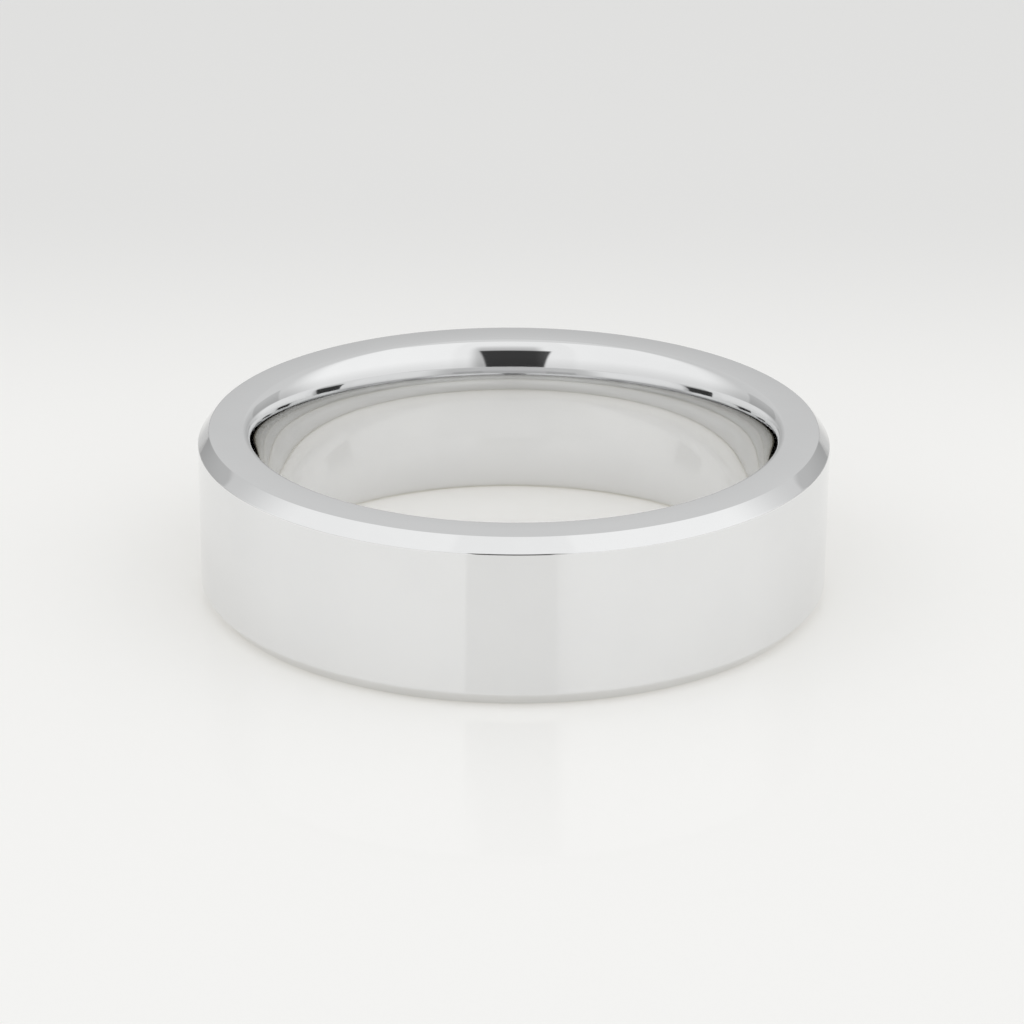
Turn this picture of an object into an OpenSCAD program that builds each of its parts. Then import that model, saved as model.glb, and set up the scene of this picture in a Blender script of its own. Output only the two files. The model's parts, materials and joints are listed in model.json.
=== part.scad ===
// Wedding band: one seamless ring of white metal, lying on one of its flat side faces.
// Flat outer wall with a straight bevel on each outer edge, and a comfort-fit bore.
// Millimetres. The ring's axis is Z, and the centre of its lower side face is the origin.

/* [Band] */
// Diameter over the outer wall
outer_diameter = 22.4; // [21.4:0.1:26]
// Diameter of the straight land in the middle of the bore, which sets the ring size
bore_diameter = 17.93; // [16:0.01:18.5]
// Width of the band along its axis
band_width = 6; // [4:0.5:10]

/* [Outer bevels] */
// Height of each bevel, along the axis
bevel_height = 0.49; // [0.2:0.01:0.8]
// How far each bevel cuts into the side face, across the radius
bevel_depth = 0.4; // [0.2:0.01:0.5]

/* [Comfort fit] */
// Length of the straight land in the middle of the bore
land_length = 1.2; // [0.6:0.1:2]
// How much the bore opens between the land and each side face, across the radius
comfort_depth = 0.65; // [0.3:0.05:0.9]

/* [Hidden] */
$fn = 180;
outer_r = outer_diameter / 2;
bore_r = bore_diameter / 2;
mouth_r = bore_r + comfort_depth;
mid = band_width / 2;
half_land = land_length / 2;
comfort_length = mid - half_land;

// Section of the wall, its bevels and the land, with square shoulders in place of the curves
module wall_section() {
    polygon([
        [outer_r, bevel_height - mid],
        [outer_r, mid - bevel_height],
        [outer_r - bevel_depth, mid],
        [mouth_r, mid],
        [mouth_r, half_land],
        [bore_r, half_land],
        [bore_r, -half_land],
        [mouth_r, -half_land],
        [mouth_r, -mid],
        [outer_r - bevel_depth, -mid]
    ]);
}

// Section of one curved end of the bore: a quarter of an ellipse that leaves the land without a
// step and rolls over into the side face
module comfort_section() {
    intersection() {
        translate([mouth_r, half_land]) scale([comfort_depth, comfort_length]) circle(1);
        translate([0, half_land]) square([mouth_r, 2 * comfort_length]);
    }
}

module band() {
    color([0.86, 0.86, 0.87])
        translate([0, 0, mid])
            rotate_extrude() {
                wall_section();
                comfort_section();
                mirror([0, 1]) comfort_section();
            }
}

band();
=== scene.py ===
# %% [markdown]
# # A bevelled, mirror-polished wedding band
# The ring is one piece of white metal, so this lesson makes one piece very carefully: a section
# with true rounds, turned about an axis, then a mirror finish that carries faint buffing marks.
# The last cells make the floor, the light around the ring and the camera. All sizes are in metres.

import json
from math import atan2, cos, radians, sin

import bpy
from mathutils import Matrix, Vector


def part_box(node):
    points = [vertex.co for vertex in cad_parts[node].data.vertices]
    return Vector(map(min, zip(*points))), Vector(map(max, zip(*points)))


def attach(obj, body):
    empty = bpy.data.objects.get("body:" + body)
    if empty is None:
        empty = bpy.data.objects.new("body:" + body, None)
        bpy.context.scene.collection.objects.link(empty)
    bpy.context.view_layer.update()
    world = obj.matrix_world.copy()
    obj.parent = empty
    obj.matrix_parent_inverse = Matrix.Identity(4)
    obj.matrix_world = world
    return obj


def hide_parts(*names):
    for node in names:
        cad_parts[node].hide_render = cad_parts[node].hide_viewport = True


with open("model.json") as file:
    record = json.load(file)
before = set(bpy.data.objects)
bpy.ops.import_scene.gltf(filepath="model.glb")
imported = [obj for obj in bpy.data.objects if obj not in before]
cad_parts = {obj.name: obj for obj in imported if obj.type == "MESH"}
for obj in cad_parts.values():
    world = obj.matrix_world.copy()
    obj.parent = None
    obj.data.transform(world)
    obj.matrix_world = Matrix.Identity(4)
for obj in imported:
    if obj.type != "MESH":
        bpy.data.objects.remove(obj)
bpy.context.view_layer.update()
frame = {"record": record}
MM = 0.001

# %% [markdown]
# ## Driving sizes
# The outside of the ring comes from the box of the solid band, and the straight land in its bore
# from the finger bore that the part's record states. The rest are the maker's own choices: how
# much the outer edges are bevelled, how strongly the bore is curved, and how far polishing has
# worn the sharp edges down.

# %% Driving sizes
low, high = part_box("band")
outer_radius = (high[0] - low[0]) / 2
half_width = (high[2] - low[2]) / 2
middle = (high[2] + low[2]) / 2

finger_bore = next(m for m in frame["record"]["mounts"] if m["name"] == "finger_bore")
bore_radius = finger_bore["dims"]["r_mm"] * MM
half_land = finger_bore["dims"]["length_mm"] * MM / 2

bevel_height = 0.49 * MM
bevel_depth = 0.40 * MM
comfort_depth = 0.65 * MM
comfort_length = half_width - half_land
wall_edge = 0.12 * MM
face_edge = 0.05 * MM
print("outer radius", outer_radius, "bore radius", bore_radius, "width", 2 * half_width)

# %% [markdown]
# ## The section, as corners and a curve
# A ring like this is turned: a cutter follows the section. Outside, the section is straight lines,
# so they are drawn as bare corners, each with the radius that polishing has worn it to. Inside, it
# is a quarter of an ellipse at each end of a short straight land. Its points are spaced by the way
# the surface faces, not by distance, because a mirror shows angles: they crowd together where the
# curve rolls over into the side face.

# %% Section corners
COMFORT_STEPS = 30


def comfort_point(face_up):
    """A point of the bore's curve where its surface leans up by this angle (0 at the land)."""
    turn = atan2(comfort_length * sin(face_up), comfort_depth * cos(face_up))
    return (bore_radius + comfort_depth * (1 - cos(turn)),
            half_land + comfort_length * sin(turn), 0.0)


upper_corners = [
    (outer_radius, half_width - bevel_height, wall_edge),
    (outer_radius - bevel_depth, half_width, face_edge),
] + [comfort_point(radians(90 * i / COMFORT_STEPS)) for i in range(COMFORT_STEPS, -1, -1)]
lower_corners = [(r, -z, edge) for r, z, edge in reversed(upper_corners)]
corners = upper_corners + lower_corners
print("side face from", round((bore_radius + comfort_depth) / MM, 3), "to",
      round((outer_radius - bevel_depth) / MM, 3), "mm radius;", len(corners), "corners")

# %% Section outline as a closed loop with a round stored on each corner
outline = bpy.data.meshes.new("band_section")
count = len(corners)
outline.from_pydata(
    [(r - outer_radius, z, 0) for r, z, edge in corners],
    [(i, (i + 1) % count) for i in range(count)],
    [],
)
rounds = outline.attributes.new("corner_round", "FLOAT", "POINT")
rounds.data.foreach_set("value", [edge for r, z, edge in corners])
band = bpy.data.objects.new("polished_band", outline)
bpy.context.collection.objects.link(band)
print("section corners:", len(outline.vertices))

# %% [markdown]
# ## Turning the section
# A Spin in edit mode would do, but Geometry Nodes keep the rule in view: take the corners, round
# each by its own radius, and carry the outline round a circle. Fillet Curve reads the stored
# radius, so the two edges of the bevel and the bare points of the bore go through the same node.
# The steps are fine because a mirror shows every facet.

# %% The lathe tree
def socket(tree, name, kind, in_out="INPUT"):
    return tree.interface.new_socket(name=name, in_out=in_out, socket_type=kind)


lathe = bpy.data.node_groups.new("turn_section", "GeometryNodeTree")
socket(lathe, "Section", "NodeSocketGeometry")
turn_radius_in = socket(lathe, "Turning Radius", "NodeSocketFloat")
turn_steps_in = socket(lathe, "Steps Around", "NodeSocketInt")
round_steps_in = socket(lathe, "Steps per Round", "NodeSocketInt")
height_in = socket(lathe, "Height", "NodeSocketVector")
metal_in = socket(lathe, "Metal", "NodeSocketMaterial")
socket(lathe, "Ring", "NodeSocketGeometry", "OUTPUT")

node, wire = lathe.nodes.new, lathe.links.new
entry = node("NodeGroupInput")
leave = node("NodeGroupOutput")

to_curve = node("GeometryNodeMeshToCurve")
wire(entry.outputs["Section"], to_curve.inputs["Mesh"])

corner_round = node("GeometryNodeInputNamedAttribute")
corner_round.data_type = "FLOAT"
corner_round.inputs["Name"].default_value = "corner_round"

fillet = node("GeometryNodeFilletCurve")
fillet.mode = "POLY"
wire(to_curve.outputs["Curve"], fillet.inputs["Curve"])
wire(entry.outputs["Steps per Round"], fillet.inputs["Count"])
wire(corner_round.outputs["Attribute"], fillet.inputs["Radius"])

path = node("GeometryNodeCurvePrimitiveCircle")
wire(entry.outputs["Steps Around"], path.inputs["Resolution"])
wire(entry.outputs["Turning Radius"], path.inputs["Radius"])

turn = node("GeometryNodeCurveToMesh")
wire(path.outputs["Curve"], turn.inputs["Curve"])
wire(fillet.outputs["Curve"], turn.inputs["Profile Curve"])

merge_gap = 0.0005 * MM
merge = node("GeometryNodeMergeByDistance")
merge.inputs["Distance"].default_value = merge_gap
wire(turn.outputs["Mesh"], merge.inputs["Geometry"])

lift = node("GeometryNodeTransform")
wire(merge.outputs["Geometry"], lift.inputs["Geometry"])
wire(entry.outputs["Height"], lift.inputs["Translation"])

smooth = node("GeometryNodeSetShadeSmooth")
wire(lift.outputs["Geometry"], smooth.inputs["Geometry"])

realize = node("GeometryNodeRealizeInstances")
wire(smooth.outputs["Geometry"], realize.inputs["Geometry"])

finish_metal = node("GeometryNodeSetMaterial")
wire(realize.outputs["Geometry"], finish_metal.inputs["Geometry"])
wire(entry.outputs["Metal"], finish_metal.inputs["Material"])
wire(finish_metal.outputs["Geometry"], leave.inputs["Ring"])
print("lathe nodes:", len(lathe.nodes))

# %% [markdown]
# ## Marks in a polish
# A mirror finish is made by buffing the ring while it spins, so what marks it has run round it.
# Two shader groups hold the effects. One draws hairlines along any direction it is given, and the
# other, which the floor uses too, puts soft patches where fingers and cloths have been. Both give
# only a value, and each material decides what to do with it.

# %% Shader groups for the marks
def shader_group(name, inputs, outputs):
    group = bpy.data.node_groups.new(name, "ShaderNodeTree")
    for label, kind, value in inputs:
        made = socket(group, label, kind)
        if value is not None:
            made.default_value = value
    for label, kind in outputs:
        socket(group, label, kind, "OUTPUT")
    return group, group.nodes.new("NodeGroupInput"), group.nodes.new("NodeGroupOutput")


def maths(tree, operation, *values, clamp=False):
    step = tree.nodes.new("ShaderNodeMath")
    step.operation = operation
    step.use_clamp = clamp
    for slot_, value in zip(step.inputs, values):
        if hasattr(value, "links"):
            tree.links.new(value, slot_)
        else:
            slot_.default_value = value
    return step.outputs["Value"]


def remap(tree, value, from_low, from_high, to_low, to_high, smooth_step=False):
    step = tree.nodes.new("ShaderNodeMapRange")
    step.interpolation_type = "SMOOTHSTEP" if smooth_step else "LINEAR"
    tree.links.new(value, step.inputs["Value"])
    for label, bound in zip(("From Min", "From Max", "To Min", "To Max"),
                            (from_low, from_high, to_low, to_high)):
        step.inputs[label].default_value = bound
    return step.outputs["Result"]


def noise(tree, vector, scale, detail=2.0, roughness=0.5):
    step = tree.nodes.new("ShaderNodeTexNoise")
    step.inputs["Detail"].default_value = detail
    step.inputs["Roughness"].default_value = roughness
    tree.links.new(vector, step.inputs["Vector"])
    if hasattr(scale, "links"):
        tree.links.new(scale, step.inputs["Scale"])
    else:
        step.inputs["Scale"].default_value = scale
    return step.outputs["Fac"]


hairlines, lines_in, lines_out = shader_group(
    "hairlines",
    [("Vector", "NodeSocketVector", None), ("Along", "NodeSocketFloat", 1.0),
     ("Across", "NodeSocketFloat", 100.0)],
    [("Lines", "NodeSocketFloat")],
)
split = hairlines.nodes.new("ShaderNodeSeparateXYZ")
hairlines.links.new(lines_in.outputs["Vector"], split.inputs["Vector"])
join = hairlines.nodes.new("ShaderNodeCombineXYZ")
for label, reach in (("X", "Along"), ("Y", "Along"), ("Z", "Across")):
    hairlines.links.new(
        maths(hairlines, "MULTIPLY", split.outputs[label], lines_in.outputs[reach]),
        join.inputs[label])
drawn = noise(hairlines, join.outputs["Vector"], 1.0, detail=3.0, roughness=0.6)
hairlines.links.new(remap(hairlines, drawn, 0.35, 0.75, 0.0, 1.0), lines_out.inputs["Lines"])

smudges, smudge_in, smudge_out = shader_group(
    "smudges",
    [("Vector", "NodeSocketVector", None), ("Scale", "NodeSocketFloat", 300.0)],
    [("Patches", "NodeSocketFloat")],
)
soft = noise(smudges, smudge_in.outputs["Vector"], smudge_in.outputs["Scale"], detail=4.0)
smudges.links.new(remap(smudges, soft, 0.4, 0.65, 0.0, 1.0, True), smudge_out.inputs["Patches"])
print("mark groups:", hairlines.name, smudges.name)

# %% [markdown]
# ## Polished white metal
# The metal itself is a plain mirror: fully metallic, pale and a little cool. The marks follow the
# buffing wheel, so the object's own X, Y and Z are first turned into a place on the unit circle
# and a distance along the section. Every circle round the axis keeps that distance, so the lines
# run round the wall, the bevels, the side faces and the bore alike.

# %% A material with its shader and coordinates
def new_material(name):
    material = bpy.data.materials.new(name)
    material.use_nodes = True
    tree = material.node_tree
    return material, tree, tree.nodes["Principled BSDF"]


def place(tree, group, **values):
    step = tree.nodes.new("ShaderNodeGroup")
    step.node_tree = group
    for label, value in values.items():
        slot_ = step.inputs[label]
        if hasattr(value, "links"):
            tree.links.new(value, slot_)
        else:
            slot_.default_value = value
    return step.outputs[0]


metal, metal_tree, metal_shader = new_material("polished_white_metal")
metal_coords = metal_tree.nodes.new("ShaderNodeTexCoord").outputs["Object"]
xyz = metal_tree.nodes.new("ShaderNodeSeparateXYZ")
metal_tree.links.new(metal_coords, xyz.inputs["Vector"])
off_axis = maths(metal_tree, "SQRT", maths(
    metal_tree, "ADD",
    maths(metal_tree, "MULTIPLY", xyz.outputs["X"], xyz.outputs["X"]),
    maths(metal_tree, "MULTIPLY", xyz.outputs["Y"], xyz.outputs["Y"])))
unrolled = metal_tree.nodes.new("ShaderNodeCombineXYZ")
for label in ("X", "Y"):
    metal_tree.links.new(
        maths(metal_tree, "DIVIDE", xyz.outputs[label], off_axis), unrolled.inputs[label])
metal_tree.links.new(
    maths(metal_tree, "SUBTRACT", xyz.outputs["Z"], off_axis), unrolled.inputs["Z"])

# %% Polish: tone, roughness and the faintest relief
buffing = place(metal_tree, hairlines, Vector=unrolled.outputs["Vector"],
                Along=6.0, Across=40000.0)
handled = place(metal_tree, smudges, Vector=metal_coords, Scale=350.0)

clean_tone = (0.820, 0.822, 0.823, 1)
handled_tone = (0.810, 0.812, 0.814, 1)
tone = metal_tree.nodes.new("ShaderNodeMix")
tone.data_type = "RGBA"
tone.inputs["A"].default_value = clean_tone
tone.inputs["B"].default_value = handled_tone
metal_tree.links.new(handled, tone.inputs["Factor"])
metal_tree.links.new(tone.outputs["Result"], metal_shader.inputs["Base Color"])

clean_roughness = 0.030
handled_roughness = 0.040
line_roughness = 0.015
gloss = maths(metal_tree, "ADD",
              remap(metal_tree, handled, 0.0, 1.0, clean_roughness, handled_roughness),
              maths(metal_tree, "MULTIPLY", buffing, line_roughness))
metal_tree.links.new(gloss, metal_shader.inputs["Roughness"])
metal_shader.inputs["Metallic"].default_value = 1.0

line_depth = 0.00002 * MM
relief = metal_tree.nodes.new("ShaderNodeBump")
relief.inputs["Strength"].default_value = 1.0
relief.inputs["Distance"].default_value = line_depth
metal_tree.links.new(buffing, relief.inputs["Height"])
metal_tree.links.new(relief.outputs["Normal"], metal_shader.inputs["Normal"])
print("metal nodes:", len(metal_tree.nodes))

# %% Turn the ring and keep it as a plain mesh
TURN_STEPS = 576
ROUND_STEPS = 8
turned = band.modifiers.new("turned", "NODES")
turned.node_group = lathe
turned[turn_radius_in.identifier] = outer_radius
turned[turn_steps_in.identifier] = TURN_STEPS
turned[round_steps_in.identifier] = ROUND_STEPS
turned[height_in.identifier] = (0.0, 0.0, middle)
turned[metal_in.identifier] = metal

flat_first = band.modifiers.new("flat_first", "WEIGHTED_NORMAL")
flat_first.weight = 100

evaluated = band.evaluated_get(bpy.context.evaluated_depsgraph_get())
made = bpy.data.meshes.new_from_object(evaluated, depsgraph=bpy.context.evaluated_depsgraph_get())
band.modifiers.clear()
band.data = made
made.name = "polished_band"
print("triangles:", sum(len(p.vertices) - 2 for p in made.polygons),
      "materials:", [m.name for m in made.materials])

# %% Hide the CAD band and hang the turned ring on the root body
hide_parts("band")
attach(band, "root")

# %% [markdown]
# ## Floor
# The ring stands on a glossy sheet of white acrylic that is lit a little from below, so its
# shadow stays pale, and it returns a faint mirror image of the ring. The light under the sheet
# runs out behind the ring. A large flat sheet is enough, and the same smudges as on the metal,
# much larger, keep its gloss from being perfect.

# %% Floor sheet
floor_mesh = bpy.data.meshes.new("floor")
floor_half = 2.0
floor_mesh.from_pydata(
    [(-floor_half, -floor_half, 0), (floor_half, -floor_half, 0),
     (floor_half, floor_half, 0), (-floor_half, floor_half, 0)], [], [(0, 1, 2, 3)])
floor = bpy.data.objects.new("floor", floor_mesh)
bpy.context.collection.objects.link(floor)
floor.location.z = low[2]

acrylic, acrylic_tree, acrylic_shader = new_material("white_acrylic")
acrylic_coords = acrylic_tree.nodes.new("ShaderNodeTexCoord").outputs["Object"]
wiped = place(acrylic_tree, smudges, Vector=acrylic_coords, Scale=60.0)
wiped_roughness = 0.03
smeared_roughness = 0.05
acrylic_tree.links.new(
    remap(acrylic_tree, wiped, 0.0, 1.0, wiped_roughness, smeared_roughness),
    acrylic_shader.inputs["Roughness"])
acrylic_ior = 1.215
acrylic_shader.inputs["IOR"].default_value = acrylic_ior
print("floor at height", floor.location.z)

# %% Light under the sheet
across = acrylic_tree.nodes.new("ShaderNodeSeparateXYZ")
acrylic_tree.links.new(acrylic_coords, across.inputs["Vector"])
lit_up_to = 8 * MM
unlit_from = 50 * MM
glow_strength = 0.20
run_out = remap(acrylic_tree, across.outputs["Y"], lit_up_to, unlit_from, 0.0, 1.0, True)
for label, lit, unlit in (
    ("Base Color", (0.850, 0.862, 0.890, 1), (0.840, 0.838, 0.832, 1)),
    ("Emission Color", (1.0, 0.93, 0.75, 1), (0.38, 0.37, 0.35, 1)),
):
    shade = acrylic_tree.nodes.new("ShaderNodeMix")
    shade.data_type = "RGBA"
    shade.inputs["A"].default_value = lit
    shade.inputs["B"].default_value = unlit
    acrylic_tree.links.new(run_out, shade.inputs["Factor"])
    acrylic_tree.links.new(shade.outputs["Result"], acrylic_shader.inputs[label])
acrylic_shader.inputs["Emission Strength"].default_value = glow_strength
floor_mesh.materials.append(acrylic)
print("acrylic nodes:", len(acrylic_tree.nodes))

# %% [markdown]
# ## Light tent
# A mirror shows its surroundings, so the light is drawn as what the ring sees: a white tent with
# one gap. Its sheets are brightest in front and at the sides, and turn grey behind. The dark gap
# is in front, where the lens looks in, and the sheets that frame it curve away at the top. The
# tent is a sky of pure direction, so it lights the whole floor evenly.

# %% Directions in the tent
tent = bpy.data.worlds.new("light_tent")
bpy.context.scene.world = tent
tent.use_nodes = True
sky = tent.node_tree
sky.nodes.clear()
look = sky.nodes.new("ShaderNodeTexCoord").outputs["Generated"]
aim = sky.nodes.new("ShaderNodeSeparateXYZ")
sky.links.new(look, aim.inputs["Vector"])
elevation = maths(sky, "DEGREES", maths(sky, "ARCSINE", aim.outputs["Z"]))
azimuth = maths(sky, "DEGREES", maths(
    sky, "ARCTAN2", aim.outputs["X"], maths(sky, "MULTIPLY", aim.outputs["Y"], -1.0)))
side = maths(sky, "ABSOLUTE", azimuth)
UNDERFOOT = -120  # lower than any direction, so that a patch has no lower edge


def between(value, start, end, soft_edge):
    """1 inside start..end, fading to 0 over soft_edge degrees at both ends."""
    rise = remap(sky, value, start - soft_edge / 2, start + soft_edge / 2, 0.0, 1.0, True)
    fall = remap(sky, value, end - soft_edge / 2, end + soft_edge / 2, 1.0, 0.0, True)
    return maths(sky, "MULTIPLY", rise, fall)


def patch(around, soft_around, top, soft_top):
    """A mask over a range of azimuths (or of side angles), from below the floor up to top."""
    value, start, end = around
    return maths(sky, "MULTIPLY", between(value, start, end, soft_around),
                 between(elevation, UNDERFOOT, top, soft_top))


def dim(light, mask, share):
    """The same light, down to this share of itself where the mask is 1."""
    return maths(sky, "MULTIPLY", light, remap(sky, mask, 0, 1, 1.0, share))


# %% Sheets and roof
front_light = 1.03
back_light = 0.70
horizon_share = 0.80
left_share = 0.955
right_share = 1.025
light = remap(sky, side, 92, 124, front_light, back_light, True)
light = maths(sky, "MULTIPLY", light, remap(sky, elevation, 0, 16, horizon_share, 1.0, True))
light = maths(sky, "MULTIPLY", light,
              remap(sky, aim.outputs["X"], -1, 1, left_share, right_share))

centre_share = 0.955
light = dim(light, between(side, -10, 28, 5), centre_share)

below_roof = 1.2  # more than any sheet gives, so the roof cuts nothing off there
roof_light = 0.79
roof = remap(sky, elevation, 59, 67, below_roof, roof_light, True)
light = maths(sky, "MINIMUM", light, roof)

low_back_share = 0.85
rear_corner_share = 0.78
light = dim(light, patch((side, 150, 220), soft_around=20, top=19, soft_top=9), low_back_share)
light = dim(light, patch((side, 125.5, 152), soft_around=2.5, top=17.5, soft_top=3),
            rear_corner_share)
print("light in front", front_light, "behind", back_light, "roof", roof_light)

# %% The dark gap for the lens, wider at the top and with a grey border
border_share = 0.60
light = dim(light, patch((azimuth, -12, 18.5), soft_around=7, top=35, soft_top=16), border_share)

top_narrowing = 0.74
gap_share = 0.085
opening = maths(sky, "MULTIPLY", azimuth, remap(sky, elevation, 2, 29, 1.0, top_narrowing))
light = dim(light, patch((opening, -13.3, 12.6), soft_around=1.3, top=25.5, soft_top=3), gap_share)

# %% The tent's light, plain white where the camera looks past the floor
backdrop_light = 0.9
tent_tint = (0.996, 1.0, 1.0, 1)
seen = sky.nodes.new("ShaderNodeLightPath").outputs["Is Camera Ray"]
strength = sky.nodes.new("ShaderNodeMix")
strength.data_type = "FLOAT"
sky.links.new(seen, strength.inputs["Factor"])
sky.links.new(light, strength.inputs["A"])
strength.inputs["B"].default_value = backdrop_light
glow = sky.nodes.new("ShaderNodeBackground")
glow.inputs["Color"].default_value = tent_tint
sky.links.new(strength.outputs["Result"], glow.inputs["Strength"])
sky.links.new(glow.outputs["Background"], sky.nodes.new("ShaderNodeOutputWorld").inputs["Surface"])
bpy.context.scene.view_settings.view_transform = "Standard"
print("tent nodes:", len(sky.nodes))

# %% [markdown]
# ## Light passed round the inside of the bore
# At the two ends of the bore, as the camera sees it, light glances from wall to wall many times
# before it leaves. A few more mirror bounces than usual keep those two corners from turning
# solid black.

# %% Mirror bounces
bpy.context.scene.cycles.max_bounces = 12
bpy.context.scene.cycles.glossy_bounces = 6
print("mirror bounces:", bpy.context.scene.cycles.glossy_bounces)

# %% [markdown]
# ## Camera
# A long lens, close to the ring, looks down at it by about 21 degrees. The ring is so small that
# the near and far rims still differ clearly in size.

# %% Camera
view_elevation = radians(21.19)
view_roll = radians(0.343)
view_distance = 130 * MM
lens_length = 127.7
shift_right = -0.00146
shift_up = -0.00918
ring_centre = Vector((0, 0, middle))
camera_data = bpy.data.cameras.new("camera")
camera = bpy.data.objects.new("camera", camera_data)
bpy.context.collection.objects.link(camera)
back = Vector((0, -cos(view_elevation), sin(view_elevation)))
aim_turn = (-back).to_track_quat("-Z", "Y").to_matrix().to_4x4()
lean = Matrix.Rotation(view_roll, 4, "Z")
camera.matrix_world = Matrix.Translation(ring_centre + back * view_distance) @ aim_turn @ lean
camera_data.lens = lens_length
camera_data.shift_x = shift_right
camera_data.shift_y = shift_up
camera_data.clip_start = 10 * MM
camera_data.clip_end = 10
bpy.context.scene.camera = camera
print("lens in mm:", camera_data.lens, "camera at", [round(v / MM, 1) for v in camera.location])
